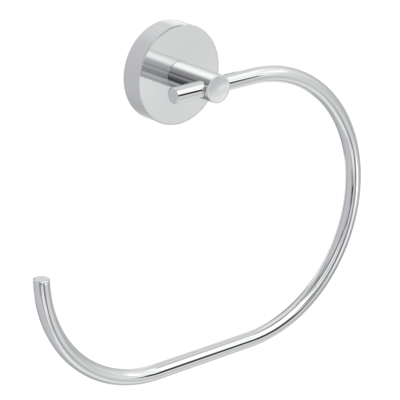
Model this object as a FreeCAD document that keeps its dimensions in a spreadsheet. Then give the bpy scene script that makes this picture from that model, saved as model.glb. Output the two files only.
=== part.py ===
import FreeCAD, Part
import math
import os

import Sketcher

# A wall-mounted towel ring: a round rosette, a post, and an open ring bent from round rod.
#
# The wall is the plane Y = 0 and the ring stands in front of it, towards -Y. +Z is up, and +X is
# to the right for someone who faces the wall. The origin is the centre of the rosette's back.

# Driving dimensions in millimetres. Each is one cell of the sheet, under its own name.
DIMENSIONS = {
    # Rosette: a cup with a flat front, open to the wall
    "rosette_diameter": 50.5,
    "rosette_depth": 11.85,
    "rosette_front_wall": 3.0,
    "rosette_side_wall": 3.0,
    "rosette_edge_chamfer": 0.3,
    "rosette_mouth_chamfer": 0.4,
    # Post: a round bar from the rosette's front, with a keyed spigot in the rosette
    "post_diameter": 14.0,
    "post_reach": 41.75,
    "post_edge_chamfer": 0.3,
    "post_base_chamfer": 0.25,
    "spigot_diameter": 10.0,
    "spigot_across_flats": 8.5,
    "spigot_relief": 0.4,
    # Ring: the rod's centre line runs along the top, round the right side, back along the
    # bottom and up at the left
    "rod_diameter": 8.0,
    "rod_setback": 5.9,
    "ring_stub_length": 23.6,
    "ring_top_run": 26.3,
    "ring_side_radius": 70.3,
    "ring_bottom_run": 34.1,
    "ring_end_radius": 67.75,
    "rod_end_chamfer": 0.6,
    "dimple_depth": 1.6,
    # Bracket: the disc on the wall that the rosette slips over
    "bracket_front_gap": 2.35,
    "bracket_hole_margin": 2.0,
    "groove_depth": 1.0,
    "groove_land": 1.5,
    "wall_screw_hole": 4.5,
    "wall_screw_countersink": 9.0,
    # Screw and washers behind the rosette's front wall
    "post_screw_diameter": 6.0,
    "post_screw_length": 12.0,
    "post_screw_head_diameter": 10.5,
    "post_screw_head_height": 3.3,
    "post_screw_crown_diameter": 6.4,
    "post_screw_brim_height": 1.0,
    "post_screw_socket": 4.0,
    "post_screw_socket_depth": 2.1,
    "tapped_hole_run_out": 2.0,
    "washer_diameter": 12.0,
    "washer_thickness": 1.6,
    "lock_washer_diameter": 11.8,
    "lock_washer_thickness": 1.6,
    "lock_washer_gap": 0.9,
    "lock_washer_slant": 0.6,
    # Set screws with a cone point
    "set_screw_diameter": 4.0,
    "set_screw_length": 4.0,
    "set_screw_tip_radius": 0.2,
    "set_screw_socket": 2.0,
    "set_screw_socket_depth": 1.6,
    "screw_end_chamfer": 0.3,
    # Clearances, on the radius or on one side
    "rod_clearance": 0.05,
    "spigot_clearance": 0.1,
    "thread_clearance": 0.05,
    "washer_clearance": 0.2,
    "bracket_rim_clearance": 0.5,
    "seat_clearance": 0.02,
}

# Places and sizes that follow from the driving dimensions
ROSETTE_RADIUS = "Sizes.rosette_diameter / 2"
ROSETTE_INNER_RADIUS = f"{ROSETTE_RADIUS} - Sizes.rosette_side_wall"
ROSETTE_INNER_DEPTH = "Sizes.rosette_depth - Sizes.rosette_front_wall"
POST_RADIUS = "Sizes.post_diameter / 2"
POST_LENGTH = "Sizes.post_reach - Sizes.rosette_depth"
ROD_RADIUS = "Sizes.rod_diameter / 2"
ROD_STANDOFF = "Sizes.post_reach - Sizes.rod_setback"
ROD_BORE = "Sizes.rod_diameter + 2 * Sizes.rod_clearance"
BRACKET_THICKNESS = f"{ROSETTE_INNER_DEPTH} - Sizes.bracket_front_gap"
BRACKET_RADIUS = f"{ROSETTE_INNER_RADIUS} - Sizes.bracket_rim_clearance"
BRACKET_HOLE_RADIUS = "Sizes.washer_diameter / 2 + Sizes.bracket_hole_margin"
GROOVE_RADIUS = f"{BRACKET_RADIUS} - Sizes.groove_depth"
GROOVE_STANDOFF = f"{BRACKET_THICKNESS} - Sizes.groove_land - Sizes.groove_depth"
WALL_SCREW_OFFSET = f"({BRACKET_HOLE_RADIUS} + {GROOVE_RADIUS}) / 2"
CLAMP_STACK = "(Sizes.rosette_front_wall + Sizes.washer_thickness + Sizes.lock_washer_thickness)"
TAPPED_HOLE_RADIUS = "Sizes.post_screw_diameter / 2 + Sizes.thread_clearance"
TAPPED_HOLE_DEPTH = f"Sizes.post_screw_length - {CLAMP_STACK} + Sizes.tapped_hole_run_out"
SET_SCREW_HOLE = "Sizes.set_screw_diameter + 2 * Sizes.thread_clearance"
SET_SCREW_RADIUS = "Sizes.set_screw_diameter / 2"
TIP_SETBACK = "Sizes.set_screw_tip_radius + Sizes.seat_clearance"

DRILL_POINT_ANGLE = 118
COUNTERSINK_ANGLE = 90
HEXAGON_SIDES = 6

# Places and radii this close, in millimetres, are the same, and so are volumes by this share
SAME_PLACE = 1e-3
SAME_VOLUME = 1e-3

# Sketcher's names for the ends and the centre of a curve, and for its own axes
START, END, CENTRE = range(1, 4)
H_AXIS, V_AXIS = range(-1, -3, -1)
ORIGIN = (-1, START)

doc = FreeCAD.newDocument("TowelRing")
sheet = doc.addObject("Spreadsheet::Sheet", "Sizes")
for row, (name, size) in enumerate(DIMENSIONS.items(), 1):
    sheet.set(f"A{row}", name)
    sheet.set(f"B{row}", str(size))
    sheet.setAlias(f"B{row}", name)
doc.recompute()


def value(expression):
    """The number that an expression of the sheet's cells stands for."""
    return float(sheet.evalExpression(expression))


def new_body(name):
    """An empty body, which is one separate piece of the object."""
    body = doc.addObject("PartDesign::Body", name)
    body.Label = name
    return body


def new_sketch(body, name, plane, offset=None):
    """A sketch on one of the body's origin planes, moved along the plane's normal by an expression."""
    sketch = body.newObject("Sketcher::SketchObject", name)
    sketch.AttachmentSupport = [(datum, "") for datum in body.Origin.OriginFeatures if datum.Role == plane]
    sketch.MapMode = "FlatFace"
    if offset:
        sketch.setExpression("AttachmentOffset.Base.z", offset)
    return sketch


def bind(sketch, name, constraint, expression):
    """Add a constraint of size and tie it to the sheet."""
    index = sketch.addConstraint(constraint)
    sketch.renameConstraint(index, name)
    sketch.setExpression(f"Constraints.{name}", expression)


def place_point(sketch, curve, end, x, y):
    """Hold a point of a curve at a pair of expressions, measured from the sketch's origin."""
    for kind, axis, at in (("DistanceX", V_AXIS, x), ("DistanceY", H_AXIS, y)):
        if at == "0":
            sketch.addConstraint(Sketcher.Constraint("PointOnObject", curve, end, axis))
        else:
            held = Sketcher.Constraint(kind, *ORIGIN, curve, end, value(at))
            bind(sketch, f"{kind}_{curve}_{end}", held, at)


def draw_outline(sketch, corners):
    """A closed outline of straight lines, with its corners at the given pairs of expressions."""
    points = [FreeCAD.Vector(value(x), value(y)) for x, y in corners]
    following = points[1:] + points[:1]
    for here, there in zip(points, following):
        sketch.addGeometry(Part.LineSegment(here, there))
    for line, (x, y) in enumerate(corners):
        after = (line + 1) % len(corners)
        sketch.addConstraint(Sketcher.Constraint("Coincident", line, END, after, START))
        place_point(sketch, line, START, x, y)


def draw_circle(sketch, diameter, x="0", y="0"):
    """A circle with its diameter and its centre at expressions."""
    centre = FreeCAD.Vector(value(x), value(y))
    circle = sketch.addGeometry(Part.Circle(centre, FreeCAD.Vector(0, 0, 1), value(diameter) / 2))
    place_point(sketch, circle, CENTRE, x, y)
    bind(sketch, f"diameter_{circle}", Sketcher.Constraint("Diameter", circle, value(diameter)), diameter)
    return circle


def draw_hexagon(sketch, across_flats):
    """A hexagon about the sketch's origin, on a construction circle through its corners."""
    across_corners = f"({across_flats}) / cos({180 / HEXAGON_SIDES} deg)"
    radius = value(across_corners) / 2
    turns = [math.tau * corner / HEXAGON_SIDES for corner in range(HEXAGON_SIDES + 1)]
    points = [FreeCAD.Vector(radius * math.cos(turn), radius * math.sin(turn)) for turn in turns]
    for here, there in zip(points, points[1:]):
        sketch.addGeometry(Part.LineSegment(here, there))
    circle = draw_circle(sketch, across_corners)
    sketch.setConstruction(circle, True)
    for line in range(HEXAGON_SIDES):
        after = (line + 1) % HEXAGON_SIDES
        sketch.addConstraint(Sketcher.Constraint("Coincident", line, END, after, START))
        sketch.addConstraint(Sketcher.Constraint("PointOnObject", line, START, circle))
    for line in range(1, HEXAGON_SIDES):
        sketch.addConstraint(Sketcher.Constraint("Equal", 0, line))
    sketch.addConstraint(Sketcher.Constraint("Horizontal", 1))


def draw_flatted_circle(sketch, diameter, across_flats):
    """A circle about the sketch's origin with two horizontal flats, one above and one below."""
    radius = value(diameter) / 2
    height = value(across_flats) / 2
    reach = math.sqrt(radius**2 - height**2)
    turn = math.asin(height / radius)
    circle = Part.Circle(FreeCAD.Vector(), FreeCAD.Vector(0, 0, 1), radius)
    right, left, top, bottom = range(4)
    sketch.addGeometry(Part.ArcOfCircle(circle, -turn, turn))
    sketch.addGeometry(Part.ArcOfCircle(circle, math.pi - turn, math.pi + turn))
    for side in (1, -1):
        start = FreeCAD.Vector(side * reach, side * height)
        sketch.addGeometry(Part.LineSegment(start, FreeCAD.Vector(-side * reach, side * height)))
    for curve, after in ((right, top), (top, left), (left, bottom), (bottom, right)):
        sketch.addConstraint(Sketcher.Constraint("Coincident", curve, END, after, START))
    for arc in (right, left):
        sketch.addConstraint(Sketcher.Constraint("Coincident", arc, CENTRE, *ORIGIN))
    for line in (top, bottom):
        sketch.addConstraint(Sketcher.Constraint("Horizontal", line))
    sketch.addConstraint(Sketcher.Constraint("Equal", right, left))
    bind(sketch, "diameter", Sketcher.Constraint("Diameter", right, 2 * radius), diameter)
    above = Sketcher.Constraint("DistanceY", *ORIGIN, top, START, height)
    bind(sketch, "above", above, f"({across_flats}) / 2")
    below = Sketcher.Constraint("DistanceY", bottom, START, *ORIGIN, height)
    bind(sketch, "below", below, f"({across_flats}) / 2")


def revolve(body, name, plane, corners):
    """A turned solid: an outline of radius and height, turned about the sketch's upright axis."""
    sketch = new_sketch(body, f"{name}_outline", plane)
    draw_outline(sketch, corners)
    feature = body.newObject("PartDesign::Revolution", name)
    feature.Profile = sketch
    feature.ReferenceAxis = (sketch, ["V_Axis"])
    feature.Angle = 360
    doc.recompute()
    return feature


def pad(body, name, sketch, length):
    """Material from the sketch along its plane's normal."""
    feature = body.newObject("PartDesign::Pad", name)
    feature.Profile = sketch
    feature.setExpression("Length", length)
    doc.recompute()
    return feature


def check_cut(body, feature, volume_before):
    """Stop if a cut has taken nothing away."""
    doc.recompute()
    if feature.Shape.isNull() or feature.Shape.Volume >= volume_before:
        raise RuntimeError(f"{body.Label}: {feature.Name} cuts nothing")


def pocket(body, name, sketch, length=None, along_normal=False, both_ways=False):
    """A cut from the sketch, of a given length or through everything on that side."""
    volume_before = body.Shape.Volume
    feature = body.newObject("PartDesign::Pocket", name)
    feature.Profile = sketch
    feature.Reversed = along_normal
    if both_ways:
        feature.Midplane = True
    if length:
        feature.setExpression("Length", length)
    else:
        feature.Type = "ThroughAll"
    check_cut(body, feature, volume_before)
    return feature


def groove(body, name, plane, corners):
    """A turned cut about the sketch's upright axis."""
    volume_before = body.Shape.Volume
    sketch = new_sketch(body, f"{name}_outline", plane)
    draw_outline(sketch, corners)
    feature = body.newObject("PartDesign::Groove", name)
    feature.Profile = sketch
    feature.ReferenceAxis = (sketch, ["V_Axis"])
    feature.Angle = 360
    check_cut(body, feature, volume_before)
    return feature


def round_edges(feature, centres):
    """The names of a feature's circular edges that are centred at the given points."""
    names = []
    for number, edge in enumerate(feature.Shape.Edges, 1):
        if not isinstance(edge.Curve, Part.Circle):
            continue
        if any(edge.Curve.Center.distanceToPoint(centre) < SAME_PLACE for centre in centres):
            names.append(f"Edge{number}")
    return names


def chamfer(body, name, base, edges, size):
    """A chamfer of the given size on named edges of the base feature."""
    feature = body.newObject("PartDesign::Chamfer", name)
    feature.Base = (base, edges)
    feature.setExpression("Size", size)
    doc.recompute()
    return feature


def edges_of_radius(feature, names, radius):
    """Those of the named circular edges that have the given radius."""
    found = []
    for name in names:
        if abs(feature.getSubObject(name).Curve.Radius - radius) < SAME_PLACE:
            found.append(name)
    return found


def make_rosette():
    """The cover cup: flat front, straight side wall, a keyed hole and a tapped hole underneath."""
    body = new_body("rosette")
    inner = ROSETTE_INNER_RADIUS
    cup = revolve(
        body,
        "cup",
        "XY_Plane",
        [
            ("0", f"-({ROSETTE_INNER_DEPTH})"),
            (inner, f"-({ROSETTE_INNER_DEPTH})"),
            (inner, "-Sizes.rosette_mouth_chamfer"),
            (f"{inner} + Sizes.rosette_mouth_chamfer", "0"),
            (ROSETTE_RADIUS, "0"),
            (ROSETTE_RADIUS, "-Sizes.rosette_depth"),
            ("0", "-Sizes.rosette_depth"),
        ],
    )
    rim = round_edges(cup, [FreeCAD.Vector(0, -value("Sizes.rosette_depth"), 0)])
    chamfer(body, "front_edge", cup, rim, "Sizes.rosette_edge_chamfer")
    keyhole = new_sketch(body, "keyed_hole_outline", "XZ_Plane", "Sizes.rosette_depth")
    draw_flatted_circle(
        keyhole,
        "Sizes.spigot_diameter + 2 * Sizes.spigot_clearance",
        "Sizes.spigot_across_flats + 2 * Sizes.spigot_clearance",
    )
    pocket(body, "keyed_hole", keyhole)
    underside = new_sketch(body, "set_screw_hole_outline", "XY_Plane")
    draw_circle(underside, SET_SCREW_HOLE, y=f"-({GROOVE_STANDOFF})")
    pocket(body, "set_screw_hole", underside)
    return body


def make_post():
    """The turned post, from its seat on the rosette's front to its flat end."""
    body = new_body("post")
    bar = revolve(
        body,
        "bar",
        "XY_Plane",
        [("0", "0"), (POST_RADIUS, "0"), (POST_RADIUS, f"-({POST_LENGTH})"), ("0", f"-({POST_LENGTH})")],
    )
    tip = round_edges(bar, [FreeCAD.Vector(0, -value(POST_LENGTH), 0)])
    eased = chamfer(body, "front_edge", bar, tip, "Sizes.post_edge_chamfer")
    base = round_edges(eased, [FreeCAD.Vector()])
    chamfer(body, "base_edge", eased, base, "Sizes.post_base_chamfer")
    key = new_sketch(body, "spigot_outline", "XZ_Plane")
    draw_flatted_circle(key, "Sizes.spigot_diameter", "Sizes.spigot_across_flats")
    spigot = pad(body, "spigot", key, "Sizes.rosette_front_wall - Sizes.spigot_relief")
    spigot.Reversed = True
    doc.recompute()
    drill_cone = f"({TAPPED_HOLE_RADIUS}) / tan({DRILL_POINT_ANGLE / 2} deg)"
    groove(
        body,
        "tapped_hole",
        "XY_Plane",
        [
            ("0", "Sizes.rosette_front_wall"),
            (TAPPED_HOLE_RADIUS, "Sizes.rosette_front_wall"),
            (TAPPED_HOLE_RADIUS, f"-({TAPPED_HOLE_DEPTH})"),
            ("0", f"-({TAPPED_HOLE_DEPTH}) - {drill_cone}"),
        ],
    )
    rod_depth = f"-({ROD_STANDOFF} - Sizes.rosette_depth)"
    across = new_sketch(body, "rod_bore_outline", "YZ_Plane")
    draw_circle(across, ROD_BORE, x=rod_depth)
    pocket(body, "rod_bore", across, both_ways=True)
    underside = new_sketch(body, "set_screw_hole_outline", "XY_Plane")
    draw_circle(underside, SET_SCREW_HOLE, y=rod_depth)
    pocket(body, "set_screw_hole", underside)
    body.setExpression("Placement.Base.y", "-Sizes.rosette_depth")
    return body


def draw_ring_path(sketch):
    """The rod's centre line: top run, half circle, bottom run and quarter circle, each tangent."""
    stub, top = value("Sizes.ring_stub_length"), value("Sizes.ring_top_run")
    run = value("Sizes.ring_bottom_run")
    side, end = value("Sizes.ring_side_radius"), value("Sizes.ring_end_radius")
    low = -2 * side
    up = FreeCAD.Vector(0, 0, 1)
    side_circle = Part.Circle(FreeCAD.Vector(top, -side), up, side)
    end_circle = Part.Circle(FreeCAD.Vector(-run, low + end), up, end)
    top_line, side_arc, bottom_line, end_arc = range(4)
    sketch.addGeometry(Part.LineSegment(FreeCAD.Vector(-stub, 0), FreeCAD.Vector(top, 0)))
    sketch.addGeometry(Part.ArcOfCircle(side_circle, -math.pi / 2, math.pi / 2))
    sketch.addGeometry(Part.LineSegment(FreeCAD.Vector(top, low), FreeCAD.Vector(-run, low)))
    sketch.addGeometry(Part.ArcOfCircle(end_circle, math.pi, 1.5 * math.pi))
    place_point(sketch, top_line, START, "-Sizes.ring_stub_length", "0")
    place_point(sketch, top_line, END, "Sizes.ring_top_run", "0")
    sketch.addConstraint(Sketcher.Constraint("Tangent", top_line, END, side_arc, END))
    sketch.addConstraint(Sketcher.Constraint("Tangent", side_arc, START, bottom_line, START))
    sketch.addConstraint(Sketcher.Constraint("Tangent", bottom_line, END, end_arc, END))
    sketch.addConstraint(Sketcher.Constraint("Horizontal", bottom_line))
    sketch.addConstraint(Sketcher.Constraint("Horizontal", end_arc, START, end_arc, CENTRE))
    bind(sketch, "side", Sketcher.Constraint("Radius", side_arc, side), "Sizes.ring_side_radius")
    bind(sketch, "end", Sketcher.Constraint("Radius", end_arc, end), "Sizes.ring_end_radius")
    back = Sketcher.Constraint("DistanceX", bottom_line, END, *ORIGIN, run)
    bind(sketch, "back", back, "Sizes.ring_bottom_run")


def make_ring_rod():
    """The bent rod, with chamfered ends and a drilled dimple for its set screw."""
    body = new_body("ring_rod")
    path = new_sketch(body, "path", "XZ_Plane")
    draw_ring_path(path)
    section = new_sketch(body, "section", "YZ_Plane", "-Sizes.ring_stub_length")
    draw_circle(section, "Sizes.rod_diameter")
    doc.recompute()
    rod = body.newObject("PartDesign::AdditivePipe", "rod")
    rod.Profile = section
    rod.Spine = (path, [f"Edge{number}" for number in range(1, len(path.Shape.Edges) + 1)])
    doc.recompute()
    swept = math.pi * value(ROD_RADIUS) ** 2 * path.Shape.Length
    if abs(rod.Shape.Volume / swept - 1) > SAME_VOLUME:
        raise RuntimeError("ring_rod: the swept volume differs from section times length")
    open_end = FreeCAD.Vector(
        -value("Sizes.ring_bottom_run + Sizes.ring_end_radius"),
        0,
        value("Sizes.ring_end_radius - 2 * Sizes.ring_side_radius"),
    )
    stub_end = FreeCAD.Vector(-value("Sizes.ring_stub_length"), 0, 0)
    ends = edges_of_radius(rod, round_edges(rod, [stub_end, open_end]), value(ROD_RADIUS))
    chamfer(body, "end_edges", rod, ends, "Sizes.rod_end_chamfer")
    groove(
        body,
        "dimple",
        "XZ_Plane",
        [
            ("0", f"-({ROD_RADIUS} - Sizes.dimple_depth)"),
            (f"Sizes.dimple_depth + {ROD_RADIUS}", f"-2 * ({ROD_RADIUS})"),
            ("0", f"-2 * ({ROD_RADIUS})"),
        ],
    )
    body.setExpression("Placement.Base.y", f"-({ROD_STANDOFF})")
    return body


def make_set_screw(name, seat_depth, standoff):
    """A socket set screw that points up, with its cone in a seat of that depth below the axis."""
    body = new_body(name)
    cone = f"{SET_SCREW_RADIUS} - Sizes.set_screw_tip_radius"
    revolve(
        body,
        "shank",
        "XZ_Plane",
        [
            ("0", "0"),
            ("Sizes.set_screw_tip_radius", "0"),
            (SET_SCREW_RADIUS, f"-({cone})"),
            (SET_SCREW_RADIUS, "-(Sizes.set_screw_length - Sizes.screw_end_chamfer)"),
            (f"{SET_SCREW_RADIUS} - Sizes.screw_end_chamfer", "-Sizes.set_screw_length"),
            ("0", "-Sizes.set_screw_length"),
        ],
    )
    drive = new_sketch(body, "socket_outline", "XY_Plane", "-Sizes.set_screw_length")
    draw_hexagon(drive, "Sizes.set_screw_socket")
    pocket(body, "socket", drive, "Sizes.set_screw_socket_depth", along_normal=True)
    body.setExpression("Placement.Base.y", f"-({standoff})")
    body.setExpression("Placement.Base.z", f"-({seat_depth} + {TIP_SETBACK})")
    return body


def make_wall_bracket():
    """The disc on the wall, with a V groove in its rim and two countersunk screw holes."""
    body = new_body("wall_bracket")
    rim, hole = BRACKET_RADIUS, BRACKET_HOLE_RADIUS
    revolve(
        body,
        "disc",
        "XY_Plane",
        [
            (hole, "0"),
            (rim, "0"),
            (rim, f"-({GROOVE_STANDOFF} - Sizes.groove_depth)"),
            (GROOVE_RADIUS, f"-({GROOVE_STANDOFF})"),
            (rim, f"-({GROOVE_STANDOFF} + Sizes.groove_depth)"),
            (rim, f"-({BRACKET_THICKNESS})"),
            (hole, f"-({BRACKET_THICKNESS})"),
        ],
    )
    volume_before = body.Shape.Volume
    centres = new_sketch(body, "wall_screw_centres", "XZ_Plane", BRACKET_THICKNESS)
    for side in ("", "-"):
        draw_circle(centres, "Sizes.wall_screw_hole", x=f"{side}({WALL_SCREW_OFFSET})")
    doc.recompute()
    holes = body.newObject("PartDesign::Hole", "wall_screw_holes")
    holes.Profile = centres
    holes.DepthType = "ThroughAll"
    holes.HoleCutType = "Countersink"
    holes.HoleCutCountersinkAngle = COUNTERSINK_ANGLE
    holes.setExpression("Diameter", "Sizes.wall_screw_hole")
    holes.setExpression("HoleCutDiameter", "Sizes.wall_screw_countersink")
    check_cut(body, holes, volume_before)
    return body


def make_post_screw():
    """The cone-headed socket screw that pulls the post against the rosette."""
    body = new_body("post_screw")
    head, height = "Sizes.post_screw_head_diameter / 2", "Sizes.post_screw_head_height"
    shank, length = "Sizes.post_screw_diameter / 2", "Sizes.post_screw_length"
    revolve(
        body,
        "turned",
        "XY_Plane",
        [
            ("0", height),
            ("Sizes.post_screw_crown_diameter / 2", height),
            (head, "Sizes.post_screw_brim_height"),
            (head, "0"),
            (shank, "0"),
            (shank, f"-({length} - Sizes.screw_end_chamfer)"),
            (f"{shank} - Sizes.screw_end_chamfer", f"-{length}"),
            ("0", f"-{length}"),
        ],
    )
    drive = new_sketch(body, "socket_outline", "XZ_Plane", f"-{height}")
    draw_hexagon(drive, "Sizes.post_screw_socket")
    pocket(body, "socket", drive, "Sizes.post_screw_socket_depth", along_normal=True)
    body.setExpression("Placement.Base.y", f"{CLAMP_STACK} - Sizes.rosette_depth")
    return body


def make_washer(name, diameter, thickness, seat):
    """A flat ring for the post screw, whose front face lies at an expression in front of the wall."""
    body = new_body(name)
    outline = new_sketch(body, "outline", "XZ_Plane")
    draw_circle(outline, diameter)
    draw_circle(outline, "Sizes.post_screw_diameter + 2 * Sizes.washer_clearance")
    ring = pad(body, "ring", outline, thickness)
    ring.Reversed = True
    doc.recompute()
    body.setExpression("Placement.Base.y", f"-({seat})")
    return body


def cut_lock_washer(body):
    """The slanted cut through one side of the spring washer."""
    half_gap, slant = "Sizes.lock_washer_gap / 2", "Sizes.lock_washer_slant"
    outline = new_sketch(body, "cut_outline", "YZ_Plane")
    draw_outline(
        outline,
        [
            ("0", f"-{half_gap} - {slant}"),
            ("Sizes.lock_washer_thickness", f"-{half_gap} + {slant}"),
            ("Sizes.lock_washer_thickness", f"{half_gap} + {slant}"),
            ("0", f"{half_gap} - {slant}"),
        ],
    )
    pocket(body, "cut", outline, along_normal=True)


rosette = make_rosette()
post = make_post()
ring_rod = make_ring_rod()
ring_set_screw = make_set_screw("ring_set_screw", f"{ROD_RADIUS} - Sizes.dimple_depth", ROD_STANDOFF)
wall_bracket = make_wall_bracket()
rosette_set_screw = make_set_screw("rosette_set_screw", GROOVE_RADIUS, GROOVE_STANDOFF)
post_screw = make_post_screw()
post_washer = make_washer(
    "post_washer",
    "Sizes.washer_diameter",
    "Sizes.washer_thickness",
    ROSETTE_INNER_DEPTH,
)
post_lock_washer = make_washer(
    "post_lock_washer",
    "Sizes.lock_washer_diameter",
    "Sizes.lock_washer_thickness",
    f"{ROSETTE_INNER_DEPTH} - Sizes.washer_thickness",
)
cut_lock_washer(post_lock_washer)

doc.recompute()
pieces = [
    rosette,
    post,
    ring_rod,
    ring_set_screw,
    wall_bracket,
    rosette_set_screw,
    post_screw,
    post_washer,
    post_lock_washer,
]

for item in doc.Objects:
    if "Invalid" in item.State or "Error" in item.State:
        raise RuntimeError(f"{item.Name} failed: {item.State}")
for piece in pieces:
    if piece.Shape.isNull() or not piece.Shape.isValid() or len(piece.Shape.Solids) != 1:
        raise RuntimeError(f"{piece.Label} is not one valid solid")

os.makedirs("parts", exist_ok=True)
for piece in pieces:
    piece.Shape.exportStep(f"parts/{piece.Label}.step")
    box = piece.Shape.BoundBox
    print(
        f"{piece.Label}: {piece.Shape.Volume:.0f} mm3,",
        f"X {box.XMin:.2f} to {box.XMax:.2f},",
        f"Y {box.YMin:.2f} to {box.YMax:.2f},",
        f"Z {box.ZMin:.2f} to {box.ZMax:.2f}",
    )
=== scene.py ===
import math

import bmesh
import bpy
from mathutils import Matrix, Vector


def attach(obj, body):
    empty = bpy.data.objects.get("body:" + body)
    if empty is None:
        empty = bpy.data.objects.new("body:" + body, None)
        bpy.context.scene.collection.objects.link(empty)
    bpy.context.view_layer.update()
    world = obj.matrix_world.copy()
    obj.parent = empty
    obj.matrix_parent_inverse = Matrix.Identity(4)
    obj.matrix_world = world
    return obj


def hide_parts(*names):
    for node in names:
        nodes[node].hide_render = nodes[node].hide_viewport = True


# A chrome towel ring on its rosette, in metres, in the frame of its solids: the wall is the plane
# Y = 0, the ring stands in front of it towards -Y, and +Z is up.

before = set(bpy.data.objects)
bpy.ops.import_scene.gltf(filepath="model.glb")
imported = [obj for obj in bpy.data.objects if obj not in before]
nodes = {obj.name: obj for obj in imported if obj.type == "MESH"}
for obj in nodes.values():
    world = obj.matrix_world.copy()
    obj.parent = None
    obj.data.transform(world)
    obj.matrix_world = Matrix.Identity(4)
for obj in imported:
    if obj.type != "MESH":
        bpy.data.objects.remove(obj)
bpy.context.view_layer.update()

MM = 0.001

# Sizes of the solids that the finer pieces repeat, in millimetres
ROSETTE_RADIUS = 25.25
ROSETTE_DEPTH = 11.85
ROSETTE_WALL = 3.0
MOUTH_CHAMFER = 0.4
POST_RADIUS = 7.0
POST_REACH = 41.75
SPIGOT_RADIUS = 5.0
SPIGOT_HALF_FLATS = 4.25
SPIGOT_LENGTH = 2.6
SPIGOT_CLEARANCE = 0.1
ROD_RADIUS = 4.0
ROD_STANDOFF = 35.85
ROD_CLEARANCE = 0.05
STUB_LENGTH = 23.6
TOP_RUN = 26.3
SIDE_RADIUS = 70.3
BOTTOM_RUN = 34.1
END_RADIUS = 67.75
BRACKET_GROOVE_STANDOFF = 4.0
TAPPED_HOLE_RADIUS = 3.05
TAPPED_HOLE_DEPTH = 7.8
DRILL_POINT = 1.83
DIMPLE_DEPTH = 1.6
POST_SCREW_RADIUS = 3.0
POST_SCREW_LENGTH = 12.0
POST_SCREW_STANDOFF = 5.65
POST_SCREW_HEAD_RADIUS = 5.25
POST_SCREW_HEAD_HEIGHT = 3.3
POST_SCREW_CROWN_RADIUS = 3.2
POST_SCREW_BRIM = 1.0
POST_SCREW_SOCKET = 4.0
POST_SCREW_SOCKET_DEPTH = 2.1
SET_SCREW_HOLE_RADIUS = 2.05
SET_SCREW_RADIUS = 2.0
SET_SCREW_LENGTH = 4.0
SET_SCREW_TIP = 0.2
SET_SCREW_SOCKET = 2.0
SET_SCREW_SOCKET_DEPTH = 1.6
SCREW_END_CHAMFER = 0.3
SEAT_CLEARANCE = 0.02
BRACKET_GROOVE_RADIUS = 20.75

# Metric coarse threads
POST_SCREW_PITCH = 1.0
SET_SCREW_PITCH = 0.7
THREAD_DEPTH = 0.6134
CREST_SHARE = 0.125
ROOT_SHARE = 0.25

# Small roundings that polishing leaves on the edges, and the dish of a faced and buffed end
EDGE_ROUND = 0.1
BASE_CHAMFER = 0.25
ROD_END_ROUND = 0.9
RIM_ROUND = 0.1
RIM_BEVEL = 0.43
RIM_DROP = 0.11
RIM_START = 2.5 * RIM_DROP
CUP_CORNER_ROUND = 0.5
SPIGOT_ROUND = 0.2
ROSETTE_DISH = 0.15
POST_DISH = 0.2

# How far a cutter runs past what it cuts, how far out the flats' cutters reach, and the stock that
# the keyed hole is cut from
OVERCUT = 1
FLAT_CUTTER_REACH = 6
KEYED_HOLE_STOCK = 1.0

# Steps round each kind of turned shape, and along roundings, dishes, threads and bends
AROUND = 192
ROD_AROUND = 96
SPIGOT_AROUND = 96
HOLE_AROUND = 64
SCREW_AROUND = 48
ROUND_STEPS = 5
DISH_ROWS = 10
THREAD_ROWS = 10
DEGREES_A_ROW = 1.5

SMOOTH_BELOW = math.radians(30)
FACE_AREA_WEIGHT = 100
MERGE_DISTANCE = 1e-7


def link(name, mesh, material):
    """A piece of the object that rides on its one body."""
    piece = bpy.data.objects.new(name, mesh)
    bpy.context.scene.collection.objects.link(piece)
    piece.data.materials.append(material)
    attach(piece, "root")
    return piece


def join(mesh, here, there):
    """Faces between two rings of vertices, of which one may be a single point."""
    for step in range(len(here)):
        after = (step + 1) % len(here)
        corners = [here[step], here[after], there[after], there[step]]
        mesh.faces.new(list(dict.fromkeys(corners)))


def rounded(corners, closed):
    """An outline's points, with each corner (x, y, rounding) drawn as an arc of ROUND_STEPS."""
    points = []
    for index, (x, y, rounding) in enumerate(corners):
        corner = Vector((x, y))
        at_end = index in (0, len(corners) - 1) and not closed
        if rounding == 0 or at_end:
            points.append(corner)
            continue
        before = (Vector(corners[index - 1][:2]) - corner).normalized()
        after = (Vector(corners[(index + 1) % len(corners)][:2]) - corner).normalized()
        half = before.angle(after) / 2
        centre = corner + (before + after).normalized() * rounding / math.sin(half)
        start = corner + before * rounding / math.tan(half) - centre
        end = corner + after * rounding / math.tan(half) - centre
        turn = start.angle_signed(end)
        for step in range(ROUND_STEPS + 1):
            share = Matrix.Rotation(-turn * step / ROUND_STEPS, 2)
            points.append(centre + share @ start)
    return points


def turned(name, corners, closed=False, around=AROUND):
    """A mesh turned about the Y axis from an outline of (radius, y, rounding) in millimetres."""
    mesh = bmesh.new()
    outline = rounded(corners, closed)
    rings = []
    for radius, y in outline:
        if radius == 0:
            rings.append([mesh.verts.new((0, y * MM, 0))] * around)
            continue
        ring = []
        for step in range(around):
            turn = math.tau * step / around
            place = (radius * MM * math.cos(turn), y * MM, radius * MM * math.sin(turn))
            ring.append(mesh.verts.new(place))
        rings.append(ring)
    pairs = list(zip(rings, rings[1:]))
    if closed:
        pairs.append((rings[-1], rings[0]))
    for here, there in pairs:
        join(mesh, here, there)
    return finished(name, mesh)


def dished(outer, inner, edge_y, depth):
    """Corners of a front that is dished by a depth at its middle, from one radius in to another."""
    corners = []
    for step in range(DISH_ROWS + 1):
        radius = outer + (inner - outer) * step / DISH_ROWS
        corners.append((radius, edge_y + depth * (1 - (radius / outer) ** 2), 0))
    return corners


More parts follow.
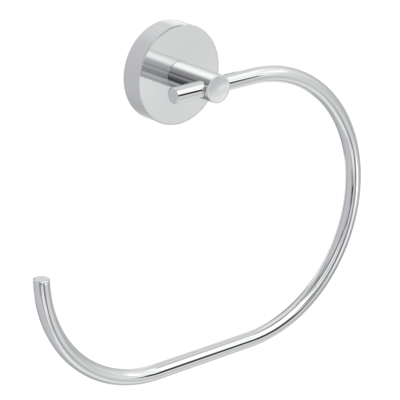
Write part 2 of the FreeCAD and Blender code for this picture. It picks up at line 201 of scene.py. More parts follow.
def threaded(name, corners, shank_radius, pitch):
    """A screw turned about the Y axis from an outline, with a right-hand thread on its shank."""
    rows = []
    for (radius, y), (next_radius, next_y) in zip(corners, corners[1:]):
        steps = max(1, math.ceil(abs(next_y - y) * THREAD_ROWS / pitch))
        for step in range(steps):
            share = step / steps
            rows.append((radius + (next_radius - radius) * share, y + (next_y - y) * share))
    rows.append(corners[-1])
    mesh = bmesh.new()
    rings = []
    for radius, y in rows:
        ring = []
        for step in range(SCREW_AROUND):
            turn = step / SCREW_AROUND
            from_crest = abs((y / pitch + turn) % 1 - 0.5) * 2
            share = (from_crest - CREST_SHARE) / (1 - ROOT_SHARE - CREST_SHARE)
            groove = THREAD_DEPTH * pitch * max(0, min(1, share))
            reach = radius if radius > shank_radius else min(radius, shank_radius - groove)
            angle = math.tau * turn
            place = Vector((reach * math.cos(angle), y, reach * math.sin(angle)))
            ring.append(mesh.verts.new(place * MM))
        rings.append(ring)
    for here, there in zip(rings, rings[1:]):
        join(mesh, here, there)
    mesh.faces.new(rings[0])
    mesh.faces.new(rings[-1])
    return finished(name, mesh)


def stood_up(mesh, standoff, height):
    """The mesh turned so that its Y axis points up, on an axis that stands off the wall."""
    place = Matrix.Translation(Vector((0, -standoff, height)) * MM)
    mesh.transform(place @ Matrix.Rotation(math.pi / 2, 4, "X"))
    return mesh


def finished(name, mesh):
    """The bmesh as a mesh whose faces all point outwards."""
    bmesh.ops.recalc_face_normals(mesh, faces=mesh.faces)
    data = bpy.data.meshes.new(name)
    mesh.to_mesh(data)
    mesh.free()
    return data


def prism(name, section, axis, start, end):
    """A straight cutter: a section of (across, up) points in millimetres, drawn along X, Y or Z."""
    mesh = bmesh.new()
    places = {
        "X": lambda across, up, along: (along, across, up),
        "Y": lambda across, up, along: (across, along, up),
        "Z": lambda across, up, along: (across, up, along),
    }
    first, last = (
        [mesh.verts.new(Vector(places[axis](across, up, along)) * MM) for across, up in section]
        for along in (start, end)
    )
    join(mesh, first, last)
    mesh.faces.new(first)
    mesh.faces.new(last)
    return finished(name, mesh)


def circle(radius, across=0.0, up=0.0, steps=HOLE_AROUND):
    """Points of a circle in millimetres."""
    turns = [math.tau * step / steps for step in range(steps)]
    return [(across + radius * math.cos(turn), up + radius * math.sin(turn)) for turn in turns]


def flatted_circle(radius, half_flats):
    """Points of a circle with a flat above and a flat below."""
    points = circle(radius, steps=SPIGOT_AROUND)
    return [(x, max(-half_flats, min(half_flats, z))) for x, z in points]


def hexagon(half_flats):
    """Corners of a hexagon in millimetres."""
    return circle(half_flats / math.cos(math.pi / 6), steps=6)


def cut(mesh, cutters):
    """The mesh with each cutter taken away from it."""
    whole = bpy.data.objects.new(mesh.name, mesh)
    bpy.context.scene.collection.objects.link(whole)
    tools = []
    for index, cutter in enumerate(cutters):
        tool = bpy.data.objects.new(f"cutter_{index}", cutter)
        bpy.context.scene.collection.objects.link(tool)
        taken = whole.modifiers.new(f"cut_{index}", "BOOLEAN")
        taken.operation = "DIFFERENCE"
        taken.solver = "EXACT"
        taken.object = tool
        tools.append(tool)
    depsgraph = bpy.context.evaluated_depsgraph_get()
    left = bpy.data.meshes.new_from_object(whole.evaluated_get(depsgraph))
    left.materials.clear()
    for item in (whole, *tools):
        bpy.data.objects.remove(item)
    shape = bmesh.new()
    shape.from_mesh(left)
    bmesh.ops.dissolve_degenerate(shape, dist=MERGE_DISTANCE, edges=shape.edges)
    many_sided = [face for face in shape.faces if len(face.verts) > 4]
    bmesh.ops.triangulate(shape, faces=many_sided, ngon_method="BEAUTY")
    shape.to_mesh(left)
    shape.free()
    return left


def polish(piece):
    """Smooth shading that keeps flat faces flat and true edges sharp."""
    piece.data.shade_smooth()
    piece.data.set_sharp_from_angle(angle=SMOOTH_BELOW)
    weighted = piece.modifiers.new("weighted_normals", "WEIGHTED_NORMAL")
    weighted.mode = "FACE_AREA"
    weighted.weight = FACE_AREA_WEIGHT
    weighted.keep_sharp = True


def centre_line():
    """Stations along the rod: place in X and Z, and direction of travel, in millimetres."""
    low = -2 * SIDE_RADIUS
    stations = [(-STUB_LENGTH, 0.0, 1.0, 0.0), (TOP_RUN, 0.0, 1.0, 0.0)]
    rows = round(180 / DEGREES_A_ROW)
    for row in range(1, rows + 1):
        turn = math.pi * row / rows
        across, down = math.sin(turn), math.cos(turn)
        stations.append((TOP_RUN + SIDE_RADIUS * across, SIDE_RADIUS * (down - 1), down, -across))
    stations.append((-BOTTOM_RUN, low, -1.0, 0.0))
    rows = round(90 / DEGREES_A_ROW)
    for row in range(1, rows + 1):
        turn = math.pi / 2 * row / rows
        across, down = math.sin(turn), math.cos(turn)
        x, z = -BOTTOM_RUN - END_RADIUS * across, low + END_RADIUS * (1 - down)
        stations.append((x, z, -down, across))
    return stations


def tip(station, way):
    """Rows that round one end of the rod over, from the plain rod out to its flat face."""
    x, z, along_x, along_z = station
    rows = []
    for step in range(ROUND_STEPS + 1):
        turn = math.pi / 2 * step / ROUND_STEPS
        back = way * ROD_END_ROUND * (1 - math.sin(turn))
        radius = ROD_RADIUS - ROD_END_ROUND * (1 - math.cos(turn))
        rows.append((x - back * along_x, z - back * along_z, along_x, along_z, radius))
    return rows


def bent_rod(name):
    """The rod swept along its centre line, with rounded edges at its two flat ends."""
    first, *between, last = centre_line()
    plain = [(*station, ROD_RADIUS) for station in between]
    rows = [*reversed(tip(first, -1)), *plain, *tip(last, 1)]
    mesh = bmesh.new()
    rings = []
    for x, z, along_x, along_z, radius in rows:
        ring = []
        for step in range(ROD_AROUND):
            turn = math.tau * step / ROD_AROUND
            out, depth = radius * math.cos(turn), radius * math.sin(turn)
            place = Vector((x - out * along_z, depth - ROD_STANDOFF, z + out * along_x))
            ring.append(mesh.verts.new(place * MM))
        rings.append(ring)
    for here, there in zip(rings, rings[1:]):
        join(mesh, here, there)
    mesh.faces.new(rings[0])
    mesh.faces.new(rings[-1])
    return finished(name, mesh)


# Materials: the roughness varies between two values with the place on the object, and a relief is
# the depth of a fine bump in metres. Scales are in noise cells a metre.

CHROME = (0.60, 0.60, 0.60)
CHROME_ROUGHNESS = (0.02, 0.035)
CHROME_TINT = 0.75
CHROME_RELIEF = 0.000003
ROSETTE_MIRROR_SHARE = 0.63
ROUGHNESS_SCALE = 400.0
CHROME_RELIEF_SCALE = 60.0
PLAIN_RELIEF_SCALE = 900.0
NOISE_DETAIL = 2.0
NOISE_RANGE = (0.3, 0.7)

# The Mix node's colour sockets, by their places
MIX_FIRST, MIX_SECOND, MIX_RESULT = 6, 7, 2


def node(tree, kind, **settings):
    """A shader node with its settings and its inputs' plain values."""
    made = tree.nodes.new(kind)
    inputs = settings.pop("inputs", {})
    for name, value in settings.items():
        setattr(made, name, value)
    for name, value in inputs.items():
        made.inputs[name].default_value = value
    return made


def empty_material(name):
    """A material with only its output node."""
    material = bpy.data.materials.new(name)
    material.use_nodes = True
    material.node_tree.nodes.clear()
    output = node(material.node_tree, "ShaderNodeOutputMaterial")
    return material, material.node_tree, output


def varied(tree, scale, low, high):
    """A soft noise over the object, spread between two values."""
    place = node(tree, "ShaderNodeTexCoord")
    noise = node(tree, "ShaderNodeTexNoise", inputs={"Scale": scale, "Detail": NOISE_DETAIL})
    ends = {"From Min": NOISE_RANGE[0], "From Max": NOISE_RANGE[1], "To Min": low, "To Max": high}
    spread = node(tree, "ShaderNodeMapRange", inputs=ends)
    tree.links.new(place.outputs["Object"], noise.inputs["Vector"])
    tree.links.new(noise.outputs["Fac"], spread.inputs["Value"])
    return spread.outputs["Result"]


def metal(tree, colour, roughness, tint=1.0, mirror_share=1.0, relief=0.0, relief_scale=1.0):
    """A metal with uneven gloss and, where asked, a share of haze or a faint relief."""
    look = {
        "Base Color": (*colour, 1),
        "Metallic": mirror_share,
        "Specular Tint": (tint, tint, tint, 1),
    }
    shader = node(tree, "ShaderNodeBsdfPrincipled", inputs=look)
    tree.links.new(varied(tree, ROUGHNESS_SCALE, *roughness), shader.inputs["Roughness"])
    if relief:
        bump = node(tree, "ShaderNodeBump", inputs={"Strength": 1.0, "Distance": relief})
        tree.links.new(varied(tree, relief_scale, 0.0, 1.0), bump.inputs["Height"])
        tree.links.new(bump.outputs["Normal"], shader.inputs["Normal"])
    return shader


def chrome(name, mirror_share):
    """Mirror-polished chrome, of which a share mirrors clearly and the rest is haze."""
    material, tree, output = empty_material(name)
    shader = metal(
        tree,
        CHROME,
        CHROME_ROUGHNESS,
        tint=CHROME_TINT,
        mirror_share=mirror_share,
        relief=CHROME_RELIEF,
        relief_scale=CHROME_RELIEF_SCALE,
    )
    tree.links.new(shader.outputs["BSDF"], output.inputs["Surface"])
    return material


def plain_metal(name, colour, roughness, relief):
    """A dull plated or bare metal."""
    material, tree, output = empty_material(name)
    shader = metal(tree, colour, roughness, relief=relief, relief_scale=PLAIN_RELIEF_SCALE)
    tree.links.new(shader.outputs["BSDF"], output.inputs["Surface"])
    return material


chrome_finish = chrome("polished_chrome_finish", 1.0)
rosette_finish = chrome("rosette_chrome_finish", ROSETTE_MIRROR_SHARE)
zinc_casting = plain_metal("zinc_casting_finish", (0.55, 0.56, 0.58), (0.35, 0.55), 0.00006)
bright_zinc = plain_metal("bright_zinc_finish", (0.66, 0.68, 0.70), (0.18, 0.30), 0.00001)
stainless = plain_metal("stainless_finish", (0.52, 0.52, 0.53), (0.22, 0.34), 0.00001)
phosphated = plain_metal("phosphated_finish", (0.16, 0.16, 0.17), (0.40, 0.55), 0.00002)


# Rosette

FACE_RADIUS = ROSETTE_RADIUS - RIM_DROP - RIM_BEVEL
DISH_RADIUS = FACE_RADIUS - RIM_ROUND
SEAT = -ROSETTE_DEPTH + ROSETTE_DISH * (1 - (POST_RADIUS / DISH_RADIUS) ** 2)

rosette_corners = [
    (SPIGOT_RADIUS - KEYED_HOLE_STOCK, -ROSETTE_DEPTH + ROSETTE_WALL, 0),
    (ROSETTE_RADIUS - ROSETTE_WALL, -ROSETTE_DEPTH + ROSETTE_WALL, CUP_CORNER_ROUND),
    (ROSETTE_RADIUS - ROSETTE_WALL, -MOUTH_CHAMFER, 0),
    (ROSETTE_RADIUS - ROSETTE_WALL + MOUTH_CHAMFER, 0, 0),
    (ROSETTE_RADIUS, 0, 0),
    (ROSETTE_RADIUS, -ROSETTE_DEPTH + RIM_START, RIM_ROUND),
    (ROSETTE_RADIUS - RIM_DROP, -ROSETTE_DEPTH + RIM_DROP, RIM_ROUND),
    (FACE_RADIUS, -ROSETTE_DEPTH, RIM_ROUND),
    *dished(DISH_RADIUS, POST_RADIUS, -ROSETTE_DEPTH, ROSETTE_DISH),
    (SPIGOT_RADIUS - KEYED_HOLE_STOCK, SEAT, 0),
]
keyed_hole = prism(
    "keyed_hole",
    flatted_circle(SPIGOT_RADIUS + SPIGOT_CLEARANCE, SPIGOT_HALF_FLATS + SPIGOT_CLEARANCE),
    "Y",
    -ROSETTE_DEPTH - OVERCUT,
    -ROSETTE_DEPTH + ROSETTE_WALL + OVERCUT,
)
rosette_screw_hole = prism(
    "rosette_screw_hole",
    circle(SET_SCREW_HOLE_RADIUS, 0, -BRACKET_GROOVE_STANDOFF),
    "Z",
    -ROSETTE_RADIUS - OVERCUT,
    -ROSETTE_RADIUS + ROSETTE_WALL + OVERCUT,
)
rosette = link(
    "rosette_shell",
    cut(turned("rosette_shell", rosette_corners, closed=True), [keyed_hole, rosette_screw_hole]),
    rosette_finish,
)
polish(rosette)
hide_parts("rosette")

# Post

post_corners = [
    (0, -ROSETTE_DEPTH + SPIGOT_LENGTH, 0),
    (SPIGOT_RADIUS, -ROSETTE_DEPTH + SPIGOT_LENGTH, SPIGOT_ROUND),
    (SPIGOT_RADIUS, SEAT, 0),
    (POST_RADIUS - BASE_CHAMFER, SEAT, 0),
    (POST_RADIUS, SEAT - BASE_CHAMFER, 0),
    (POST_RADIUS, -POST_REACH, EDGE_ROUND),
    *dished(POST_RADIUS - EDGE_ROUND, 0, -POST_REACH, POST_DISH),
]
flat_section = [
    (-FLAT_CUTTER_REACH, SPIGOT_HALF_FLATS),
    (FLAT_CUTTER_REACH, SPIGOT_HALF_FLATS),
    (FLAT_CUTTER_REACH, FLAT_CUTTER_REACH),
    (-FLAT_CUTTER_REACH, FLAT_CUTTER_REACH),
]
flats = [
    prism(
        f"flat_{side}",
        [(x, side * z) for x, z in flat_section],
        "Y",
        -ROSETTE_DEPTH,
        -ROSETTE_DEPTH + SPIGOT_LENGTH + OVERCUT,
    )
    for side in (-1, 1)
]
tapped_hole = turned(
    "tapped_hole",
    [
        (0, -ROSETTE_DEPTH + SPIGOT_LENGTH + OVERCUT, 0),
        (TAPPED_HOLE_RADIUS, -ROSETTE_DEPTH + SPIGOT_LENGTH + OVERCUT, 0),
        (TAPPED_HOLE_RADIUS, -ROSETTE_DEPTH - TAPPED_HOLE_DEPTH, 0),
        (0, -ROSETTE_DEPTH - TAPPED_HOLE_DEPTH - DRILL_POINT, 0),
    ],
    around=HOLE_AROUND,
)
rod_bore = prism(
    "rod_bore",
    circle(ROD_RADIUS + ROD_CLEARANCE, -ROD_STANDOFF, 0, steps=ROD_AROUND),
    "X",
    -POST_RADIUS - OVERCUT,
    POST_RADIUS + OVERCUT,
)
post_screw_hole = prism(
    "post_screw_hole",
    circle(SET_SCREW_HOLE_RADIUS, 0, -ROD_STANDOFF),
    "Z",
    -POST_RADIUS - OVERCUT,
    0,
)
post = link(
    "post_bar",
    cut(turned("post_bar", post_corners), [*flats, tapped_hole, rod_bore, post_screw_hole]),
    chrome_finish,
)
polish(post)
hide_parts("post")

# Ring

dimple = stood_up(
    turned(
        "dimple",
        [
            (0, DIMPLE_DEPTH - ROD_RADIUS, 0),
            (ROD_RADIUS, DIMPLE_DEPTH - 2 * ROD_RADIUS, 0),
            (0, DIMPLE_DEPTH - 2 * ROD_RADIUS, 0),
        ],
        around=HOLE_AROUND,
    ),
    ROD_STANDOFF,
    0,
)
ring_mesh = cut(bent_rod("ring_bent_rod"), [dimple])
ring = link("ring_bent_rod", ring_mesh, chrome_finish)
polish(ring)
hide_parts("ring_rod")
# The photographed rosette is retouched and mirrors only the post, so no reflection shows the ring
ring.visible_glossy = False

# Screws, with their threads and hexagon sockets

post_screw_corners = [
    (0, POST_SCREW_HEAD_HEIGHT),
    (POST_SCREW_CROWN_RADIUS, POST_SCREW_HEAD_HEIGHT),
    (POST_SCREW_HEAD_RADIUS, POST_SCREW_BRIM),
    (POST_SCREW_HEAD_RADIUS, 0),
    (POST_SCREW_RADIUS, 0),
    (POST_SCREW_RADIUS, SCREW_END_CHAMFER - POST_SCREW_LENGTH),
    (POST_SCREW_RADIUS - SCREW_END_CHAMFER, -POST_SCREW_LENGTH),
    (0, -POST_SCREW_LENGTH),
]
post_socket = prism(
    "post_socket",
    hexagon(POST_SCREW_SOCKET / 2),
    "Y",
    POST_SCREW_HEAD_HEIGHT - POST_SCREW_SOCKET_DEPTH,
    POST_SCREW_HEAD_HEIGHT + OVERCUT,
)
post_screw_mesh = cut(
    threaded("post_screw_threaded", post_screw_corners, POST_SCREW_RADIUS, POST_SCREW_PITCH),
    [post_socket],
)
post_screw_mesh.transform(Matrix.Translation(Vector((0, -POST_SCREW_STANDOFF, 0)) * MM))
post_screw = link("post_screw_threaded", post_screw_mesh, bright_zinc)
polish(post_screw)
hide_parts("post_screw")

set_screw_corners = [
    (0, 0),
    (SET_SCREW_TIP, 0),
    (SET_SCREW_RADIUS, SET_SCREW_TIP - SET_SCREW_RADIUS),
    (SET_SCREW_RADIUS, SCREW_END_CHAMFER - SET_SCREW_LENGTH),
    (SET_SCREW_RADIUS - SCREW_END_CHAMFER, -SET_SCREW_LENGTH),
    (0, -SET_SCREW_LENGTH),
]
for screw_name, seat_depth, standoff in (
    ("rosette_set_screw", BRACKET_GROOVE_RADIUS, BRACKET_GROOVE_STANDOFF),
    ("ring_set_screw", ROD_RADIUS - DIMPLE_DEPTH, ROD_STANDOFF),
):
    set_socket = prism(
        "set_socket",
        hexagon(SET_SCREW_SOCKET / 2),
        "Y",
        -SET_SCREW_LENGTH - OVERCUT,
        -SET_SCREW_LENGTH + SET_SCREW_SOCKET_DEPTH,
    )
    set_screw_mesh = cut(
        threaded(f"{screw_name}_threaded", set_screw_corners, SET_SCREW_RADIUS, SET_SCREW_PITCH),
        [set_socket],
    )
    stood_up(set_screw_mesh, standoff, -seat_depth - SET_SCREW_TIP - SEAT_CLEARANCE)
    set_screw = link(f"{screw_name}_threaded", set_screw_mesh, stainless)
    polish(set_screw)
    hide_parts(screw_name)

# Finishes of the solids that stay as they are

for name, finish in (
    ("wall_bracket", zinc_casting),
    ("post_washer", bright_zinc),
    ("post_lock_washer", phosphated),
):
    for place in nodes[name].material_slots:
        place.material = finish

# Camera: where the photograph was taken from, fitted to the object's outline

CAMERA_AZIMUTH = math.radians(-39.539)
CAMERA_ELEVATION = math.radians(20.471)
CAMERA_DEPTH = 0.9926
CAMERA_FOCAL_PIXELS = 2015.34
ORIGIN_PIXEL = (164.198, 69.639)
IMAGE_SIDE = 400
SENSOR_WIDTH = 36
CLIP_RANGE = (0.05, 50)

back = Vector(
    (
        math.sin(CAMERA_AZIMUTH) * math.cos(CAMERA_ELEVATION),
        -math.cos(CAMERA_AZIMUTH) * math.cos(CAMERA_ELEVATION),
        math.sin(CAMERA_ELEVATION),
    )
)
right = (-back).cross(Vector((0, 0, 1))).normalized()
up = back.cross(right)
metres_a_pixel = CAMERA_DEPTH / CAMERA_FOCAL_PIXELS
aside = (ORIGIN_PIXEL[0] - IMAGE_SIDE / 2) * metres_a_pixel
above = (IMAGE_SIDE / 2 - ORIGIN_PIXEL[1]) * metres_a_pixel

camera_data = bpy.data.cameras.new("camera")
camera_data.sensor_width = SENSOR_WIDTH
camera_data.lens = CAMERA_FOCAL_PIXELS * SENSOR_WIDTH / IMAGE_SIDE
camera_data.clip_start, camera_data.clip_end = CLIP_RANGE
camera = bpy.data.objects.new("camera", camera_data)
turned_to_object = Matrix((right, up, back)).transposed().to_4x4()
moved_off = Matrix.Translation(back * CAMERA_DEPTH - right * aside - up * above)
camera.matrix_world = moved_off @ turned_to_object
bpy.context.scene.collection.objects.link(camera)
bpy.context.scene.camera = camera

# Studio: soft-edged panels all round the object, on a light surrounding. Each panel has the azimuth
# and elevation of its centre and its roll in degrees, its half width and half height at a distance
# of one, the width of its soft edge, and its colour, where 1 is white.

SURROUND_LEFT = (0.09, 0.10, 0.14)
SURROUND_RIGHT = (1.03, 1.06, 1.04)
SURROUND_ABOVE = (0.63, 0.63, 0.63)
SURROUND_BELOW = (0.09, 0.09, 0.09)
PANELS = [
    (-98.4, -12.2, 24.3, 1.603, 2.606, 2.695, (0.98, 0.98, 1.02)),
    (-71.4, 51.4, 7.9, 0.111, 0.735, 0.056, (0.24, 0.25, 0.25)),
    (-37.2, -24.8, 41.5, 0.185, 0.449, 0.076, (0.00, 0.01, 0.02)),
    (-23.8, -27.1, 1.9, 0.031, 1.253, 0.250, (2.11, 2.13, 2.25)),
    (-3.7, -27.3, 55.8, 0.025, 0.225, 0.114, (0.02, 0.02, 0.02)),
    (23.8, 16.8, -4.7, 0.334, 0.488, 0.304, (3.53, 3.60, 3.52)),
    (6.6, 5.0, 27.2, 0.314, 0.246, 0.235, (0.20, 0.20, 0.22)),
    (20.7, 35.2, -6.1, 0.360, 0.465, 0.039, (0.51, 0.52, 0.52)),
    (41.8, 51.0, -43.5, 0.651, 0.534, 0.094, (2.66, 2.70, 2.71)),
    (23.8, -20.3, 0.7, 0.148, 0.054, 0.044, (2.56, 2.52, 2.65)),
    (30.1, 0.8, -3.7, 0.174, 0.205, 0.036, (0.07, 0.07, 0.07)),
    (71.9, -38.4, 4.3, 0.152, 0.569, 0.371, (0.03, 0.02, 0.03)),
    (66.5, 73.0, 23.0, 0.211, 0.414, 0.037, (0.51, 0.52, 0.51)),
    (105.9, 7.4, -19.7, 0.525, 0.967, 0.201, (0.80, 0.81, 0.82)),
    (38.3, -68.2, 34.4, 0.681, 0.215, 0.316, (1.34, 1.36, 1.35)),
    (44.6, 15.3, 12.4, 0.032, 0.199, 0.082, (0.13, 0.13, 0.14)),
    (-58.6, -25.0, 67.4, 0.122, 0.046, 0.039, (0.02, 0.02, 0.02)),
    (-36.2, -32.3, 32.8, 0.049, 0.268, 0.034, (1.86, 1.86, 1.89)),
    (-48.4, 14.3, 29.5, 0.174, 0.097, 0.083, (0.02, 0.02, 0.03)),
    (-41.7, 29.7, -11.3, 0.047, 0.397, 0.039, (2.19, 2.21, 2.25)),
    (-9.0, 46.5, -9.1, 0.065, 0.680, 0.168, (1.73, 1.75, 1.81)),
    (84.2, 36.9, -1.5, 0.819, 0.316, 0.447, (1.20, 1.22, 1.21)),
    (40.2, -25.8, 17.1, 0.379, 0.078, 0.035, (1.08, 1.10, 1.10)),
    (25.2, -18.1, 1.5, 0.250, 0.008, 0.022, (1.32, 1.36, 1.35)),
    (-33.0, -13.1, -1.4, 0.548, 0.001, 0.122, (0.61, 0.62, 0.67)),
    (-48.1, 1.6, 19.7, 0.071, 0.215, 0.040, (0.24, 0.25, 0.27)),
    (16.8, 20.0, 63.5, 0.086, 0.013, 0.067, (2.73, 2.76, 2.73)),
    (41.0, -3.5, -79.1, 0.020, 0.084, 0.160, (0.02, 0.02, 0.02)),
    (-17.6, -31.5, 63.6, 0.051, 0.177, 0.050, (1.60, 1.61, 1.63)),
    (40.1, -13.8, 65.6, 0.003, 0.292, 0.060, (1.27, 1.25, 1.27)),
    (45.8, -23.8, 29.5, 0.065, 0.119, 0.036, (0.84, 0.86, 0.89)),
    # Behind the wall's plane, for whoever looks from the back
    (138.0, 12.0, 0.0, 0.110, 0.240, 0.080, (1.46, 1.48, 1.46)),
    (160.0, -6.0, 6.0, 0.120, 0.520, 0.035, (0.10, 0.10, 0.11)),
    (178.0, -4.0, -5.0, 0.110, 0.480, 0.035, (2.60, 2.60, 2.60)),
    (-168.0, -2.0, 10.0, 0.050, 0.420, 0.035, (0.22, 0.22, 0.23)),
    (126.0, -36.0, 4.0, 0.320, 0.075, 0.035, (0.08, 0.08, 0.09)),
    (124.0, -47.0, 0.0, 0.260, 0.070, 0.035, (2.20, 2.20, 2.20)),
]

# The reflector card's place and its hole for the post, in millimetres
CARD_Y = -11.87
CARD_HOLE = 7.02
CARD_RADIUS = 36.0

# The floor's height and radius in metres, its steps round, and its paint
FLOOR_HEIGHT = -1.2
FLOOR_RADIUS = 12.0
FLOOR_AROUND = 64
FLOOR_COLOUR = (0.92, 0.92, 0.92)

# The cosine below which a panel's plane is too nearly edge-on to show
NEAR_EDGE_ON = 0.05


def socket(group, name, kind, way="INPUT"):
    """A socket of a node group."""
    return group.interface.new_socket(name=name, in_out=way, socket_type=kind)


def maths(tree, first, second, operation):
    """A maths node of two inputs, each a socket or a number."""
    made = node(tree, "ShaderNodeMath", operation=operation)
    for index, value in enumerate((first, second)):
        if isinstance(value, (int, float)):
            made.inputs[index].default_value = value
        else:
            tree.links.new(value, made.inputs[index])
    return made.outputs["Value"]


def dot(tree, first, second):
    """The dot product of two vector sockets, or of a socket and a plain vector."""
    made = node(tree, "ShaderNodeVectorMath", operation="DOT_PRODUCT")
    tree.links.new(first, made.inputs[0])
    if isinstance(second, tuple):
        made.inputs[1].default_value = second
    else:
        tree.links.new(second, made.inputs[1])
    return made.outputs["Value"]


def panel_group():
    """A node group that lays one soft-edged panel over what lies behind it."""
    tree = bpy.data.node_groups.new("studio_panel", "ShaderNodeTree")
    for name in ("Direction", "Towards", "Across", "Upward"):
        socket(tree, name, "NodeSocketVector")
    for name in ("Half Width", "Half Height", "Edge"):
        socket(tree, name, "NodeSocketFloat")
    for name in ("Behind", "Colour"):
        socket(tree, name, "NodeSocketColor")
    socket(tree, "Colour", "NodeSocketColor", "OUTPUT")
    given = node(tree, "NodeGroupInput").outputs
    ahead = dot(tree, given["Direction"], given["Towards"])
    depth = maths(tree, ahead, NEAR_EDGE_ON, "MAXIMUM")
    cover = maths(tree, ahead, NEAR_EDGE_ON, "GREATER_THAN")
    for axis, half in (("Across", "Half Width"), ("Upward", "Half Height")):
        off = maths(tree, dot(tree, given["Direction"], given[axis]), 0, "ABSOLUTE")
        share = maths(tree, off, depth, "DIVIDE")
        soft = node(
            tree,
            "ShaderNodeMapRange",
            interpolation_type="SMOOTHSTEP",
            inputs={"To Min": 1, "To Max": 0},
        )
        tree.links.new(share, soft.inputs["Value"])
        for operation, end in (("SUBTRACT", "From Min"), ("ADD", "From Max")):
            tree.links.new(maths(tree, given[half], given["Edge"], operation), soft.inputs[end])
        cover = maths(tree, cover, soft.outputs["Result"], "MULTIPLY")
    laid = node(tree, "ShaderNodeMix", data_type="RGBA")
    tree.links.new(cover, laid.inputs["Factor"])
    tree.links.new(given["Behind"], laid.inputs[MIX_FIRST])
    tree.links.new(given["Colour"], laid.inputs[MIX_SECOND])
    tree.links.new(laid.outputs[MIX_RESULT], node(tree, "NodeGroupOutput").inputs["Colour"])
    return tree


def facing(azimuth, elevation, roll):
    """The direction of a panel's centre, and the panel's own two axes."""
    a, e, r = map(math.radians, (azimuth, elevation, roll))
    towards = Vector((math.sin(a) * math.cos(e), -math.cos(a) * math.cos(e), math.sin(e)))
    east = Vector((math.cos(a), math.sin(a), 0))
    north = Vector((-math.sin(a) * math.sin(e), math.cos(a) * math.sin(e), math.cos(e)))
    across = math.cos(r) * east + math.sin(r) * north
    upward = math.cos(r) * north - math.sin(r) * east
    return towards, across, upward


def studio_group():
    """A node group that gives the studio's colour in a direction."""
    tree = bpy.data.node_groups.new("studio", "ShaderNodeTree")
    socket(tree, "Direction", "NodeSocketVector")
    socket(tree, "Colour", "NodeSocketColor", "OUTPUT")
    direction = node(tree, "NodeGroupInput").outputs["Direction"]
    half_rightward = maths(tree, dot(tree, direction, (1, 0, 0)), 0.5, "MULTIPLY")
    sides = node(tree, "ShaderNodeMix", data_type="RGBA")
    tree.links.new(maths(tree, half_rightward, 0.5, "ADD"), sides.inputs["Factor"])
    sides.inputs[MIX_FIRST].default_value = (*SURROUND_LEFT, 1)
    sides.inputs[MIX_SECOND].default_value = (*SURROUND_RIGHT, 1)
    light = sides.outputs[MIX_RESULT]
    for way, colour in (((0, 0, 1), SURROUND_ABOVE), ((0, 0, -1), SURROUND_BELOW)):
        more = node(tree, "ShaderNodeMix", data_type="RGBA", blend_type="ADD")
        more.inputs[MIX_SECOND].default_value = (*colour, 1)
        tree.links.new(maths(tree, dot(tree, direction, way), 0, "MAXIMUM"), more.inputs["Factor"])
        tree.links.new(light, more.inputs[MIX_FIRST])
        light = more.outputs[MIX_RESULT]
    shared = panel_group()
    for azimuth, elevation, roll, half_width, half_height, edge, colour in PANELS:
        towards, across, upward = facing(azimuth, elevation, roll)
        look = {
            "Towards": towards,
            "Across": across,
            "Upward": upward,
            "Half Width": half_width,
            "Half Height": half_height,
            "Edge": edge,
            "Colour": (*colour, 1),
        }
        panel = node(tree, "ShaderNodeGroup", node_tree=shared, inputs=look)
        tree.links.new(direction, panel.inputs["Direction"])
        tree.links.new(light, panel.inputs["Behind"])
        light = panel.outputs["Colour"]
    tree.links.new(light, node(tree, "NodeGroupOutput").inputs["Colour"])
    return tree


def studio_world(studio):
    """The surroundings: the studio for light and reflections, plain white for the camera."""
    world = bpy.data.worlds.new("studio")
    world.use_nodes = True
    tree = world.node_tree
    tree.nodes.clear()
    place = node(tree, "ShaderNodeTexCoord")
    seen = node(tree, "ShaderNodeGroup", node_tree=studio)
    path = node(tree, "ShaderNodeLightPath")
    around = node(tree, "ShaderNodeBackground")
    white = node(tree, "ShaderNodeBackground", inputs={"Color": (1, 1, 1, 1)})
    mixed = node(tree, "ShaderNodeMixShader")
    output = node(tree, "ShaderNodeOutputWorld")
    tree.links.new(place.outputs["Generated"], seen.inputs["Direction"])
    tree.links.new(seen.outputs["Colour"], around.inputs["Color"])
    tree.links.new(path.outputs["Is Camera Ray"], mixed.inputs["Fac"])
    tree.links.new(around.outputs["Background"], mixed.inputs[1])
    tree.links.new(white.outputs["Background"], mixed.inputs[2])
    tree.links.new(mixed.outputs["Shader"], output.inputs["Surface"])
    return world


def placed(name, mesh, material):
    """The bmesh as an object in the scene."""
    data = bpy.data.meshes.new(name)
    mesh.to_mesh(data)
    mesh.free()
    data.materials.append(material)
    made = bpy.data.objects.new(name, data)
    bpy.context.scene.collection.objects.link(made)
    return made


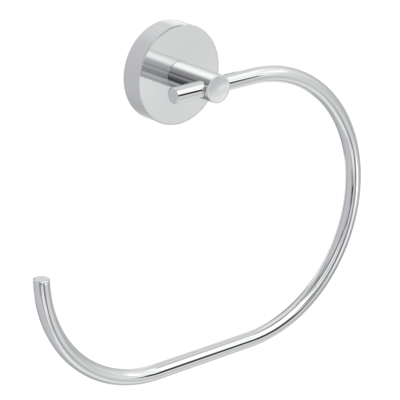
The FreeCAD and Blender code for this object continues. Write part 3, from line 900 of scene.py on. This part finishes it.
def pale_floor(studio):
    """A wide floor well below the ring: pale to the camera, the studio's colours in reflections."""
    material, tree, output = empty_material("pale_floor")
    place = node(tree, "ShaderNodeNewGeometry")
    direction = node(tree, "ShaderNodeVectorMath", operation="NORMALIZE")
    seen = node(tree, "ShaderNodeGroup", node_tree=studio)
    glow = node(tree, "ShaderNodeEmission")
    paint = node(tree, "ShaderNodeBsdfDiffuse", inputs={"Color": (*FLOOR_COLOUR, 1)})
    path = node(tree, "ShaderNodeLightPath")
    mixed = node(tree, "ShaderNodeMixShader")
    tree.links.new(place.outputs["Position"], direction.inputs[0])
    tree.links.new(direction.outputs["Vector"], seen.inputs["Direction"])
    tree.links.new(seen.outputs["Colour"], glow.inputs["Color"])
    tree.links.new(path.outputs["Is Camera Ray"], mixed.inputs["Fac"])
    tree.links.new(glow.outputs["Emission"], mixed.inputs[1])
    tree.links.new(paint.outputs["BSDF"], mixed.inputs[2])
    tree.links.new(mixed.outputs["Shader"], output.inputs["Surface"])
    mesh = bmesh.new()
    bmesh.ops.create_circle(mesh, cap_ends=True, segments=FLOOR_AROUND, radius=FLOOR_RADIUS)
    floor = placed("floor", mesh, material)
    floor.location.z = FLOOR_HEIGHT


def reflector_card():
    """A polished card just in front of the rosette, seen only in reflections from the room's side.

    It carries the mirror image that the post shows on past the rosette's rim, as in the photograph.
    """
    material, tree, output = empty_material("reflector_card")
    mirror = metal(tree, CHROME, CHROME_ROUGHNESS, tint=CHROME_TINT)
    clear = node(tree, "ShaderNodeBsdfTransparent")
    place = node(tree, "ShaderNodeNewGeometry")
    mixed = node(tree, "ShaderNodeMixShader")
    tree.links.new(place.outputs["Backfacing"], mixed.inputs["Fac"])
    tree.links.new(mirror.outputs["BSDF"], mixed.inputs[1])
    tree.links.new(clear.outputs["BSDF"], mixed.inputs[2])
    tree.links.new(mixed.outputs["Shader"], output.inputs["Surface"])
    mesh = bmesh.new()
    for step in range(AROUND):
        here, after = (math.tau * (step + more) / AROUND for more in (0, 1))
        corners = []
        for radius, turn in (
            (CARD_HOLE, after),
            (CARD_HOLE, here),
            (CARD_RADIUS, here),
            (CARD_RADIUS, after),
        ):
            place = Vector((radius * math.cos(turn), CARD_Y, radius * math.sin(turn)))
            corners.append(mesh.verts.new(place * MM))
        mesh.faces.new(corners)
    card = placed("reflector_card", mesh, material)
    card.visible_camera = False
    card.visible_diffuse = False
    card.visible_transmission = False
    card.visible_volume_scatter = False
    card.visible_shadow = False


studio = studio_group()
scene = bpy.context.scene
scene.world = studio_world(studio)
scene.view_settings.view_transform = "Standard"
pale_floor(studio)
reflector_card()
